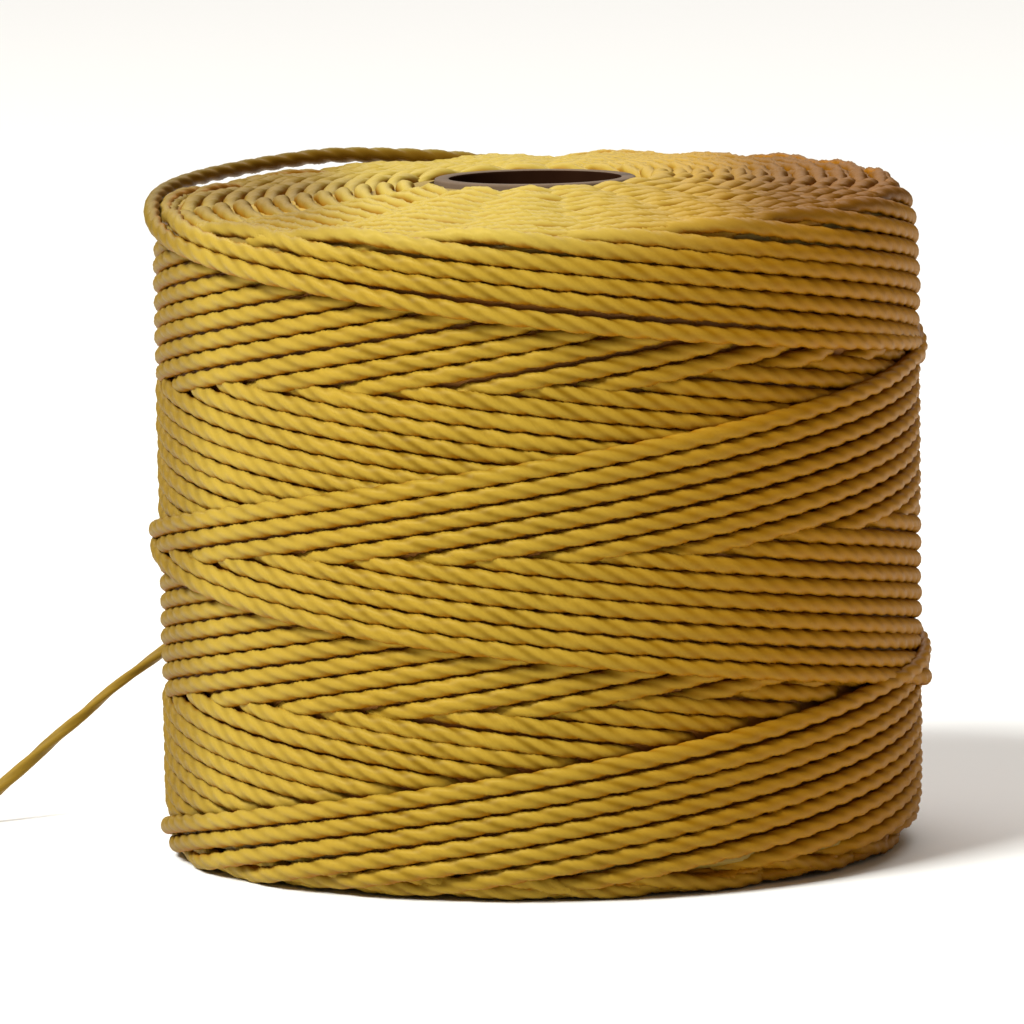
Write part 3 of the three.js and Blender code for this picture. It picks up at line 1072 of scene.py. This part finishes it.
class BOBBIN_OT_core_tube(bpy.types.Operator):
    """Adds the cardboard tube, with soft edges and a lining in painted shade"""

    bl_idname = "bobbin.core_tube"
    bl_label = "Add core tube"

    def execute(self, context):
        settings = context.scene.bobbin
        low, high = TUBE_BOX
        outer = 0.5 * (high[0] - low[0])
        inner = outer - TUBE_WALL
        top = high[2] + TUBE_RISE
        corners = ((inner, low[2]), (outer, low[2]), (outer, top), (inner, top))
        shell = spun(corners, TUBE_STEPS)
        rims = [edge for edge in shell.edges
                if abs(edge.verts[0].co.z - edge.verts[1].co.z) < 1e-6 and edge.calc_face_angle() > 1]
        bmesh.ops.bevel(shell, geom=rims, offset=TUBE_ROUNDING, offset_type="OFFSET", segments=2,
                        profile=0.5, affect="EDGES", material=-1, clamp_overlap=True)
        for face in shell.faces:
            middle = face.calc_center_median()
            inwards = face.normal.x * middle.x + face.normal.y * middle.y < 0
            face.material_index = int(inwards and abs(face.normal.z) < 0.5)
            face.smooth = True
        obj = mesh_object("core_tube_paper", shell)
        finish_piece(obj, cardboard_material(settings), "core_tube")
        obj.data.materials.append(shaded_lining_material())
        return {"FINISHED"}


class BOBBIN_OT_stage(bpy.types.Operator):
    """Adds the pale floor and the studio's lights"""

    bl_idname = "bobbin.stage"
    bl_label = "Add stage"

    def execute(self, context):
        settings = context.scene.bobbin
        shell = bmesh.new()
        bmesh.ops.create_grid(shell, x_segments=1, y_segments=1, size=FLOOR_SIZE)
        floor = mesh_object("floor", shell)
        floor.data.materials.append(floor_material(settings))

        world = bpy.data.worlds.new("studio")
        world.use_nodes = True
        background = world.node_tree.nodes["Background"]
        background.inputs["Color"].default_value = SKY_COLOUR
        background.inputs["Strength"].default_value = SKY_STRENGTH * settings.light_strength
        context.scene.world = world
        for lamp in LAMPS:
            data = bpy.data.lights.new(lamp["name"], "AREA")
            data.size = lamp["size"]
            data.energy = lamp["power"] * settings.light_strength
            data.color = lamp["colour"]
            light = link(bpy.data.objects.new(lamp["name"], data))
            towards = (LAMP_AIM - lamp["place"]).to_track_quat("-Z", "Y").to_matrix().to_4x4()
            light.matrix_world = Matrix.Translation(lamp["place"]) @ towards
        context.scene.view_settings.view_transform = "Standard"
        return {"FINISHED"}


class BOBBIN_PT_panel(bpy.types.Panel):
    """Lists the steps that build the bobbin"""

    bl_idname = "BOBBIN_PT_panel"
    bl_label = "Bobbin of beading cord"
    bl_space_type = "VIEW_3D"
    bl_region_type = "UI"
    bl_category = "Bobbin"

    def draw(self, context):
        settings = context.scene.bobbin
        for name in BobbinSettings.__annotations__:
            self.layout.prop(settings, name)
        for operator in OPERATORS:
            self.layout.operator(operator.bl_idname)


OPERATORS = (
    BOBBIN_OT_camera,
    BOBBIN_OT_loose_end,
    BOBBIN_OT_last_turns,
    BOBBIN_OT_wound_turns,
    BOBBIN_OT_winding_ends,
    BOBBIN_OT_inner_layers,
    BOBBIN_OT_core_tube,
    BOBBIN_OT_stage,
)
CLASSES = (BobbinSettings, *OPERATORS, BOBBIN_PT_panel)


def register():
    for cls in CLASSES:
        bpy.utils.register_class(cls)
    bpy.types.Scene.bobbin = bpy.props.PointerProperty(type=BobbinSettings)


def unregister():
    del bpy.types.Scene.bobbin
    for cls in reversed(CLASSES):
        bpy.utils.unregister_class(cls)


def main():
    register()
    for operator in OPERATORS:
        category, name = operator.bl_idname.split(".")
        getattr(getattr(bpy.ops, category), name)()


if __name__ == "__main__":
    main()
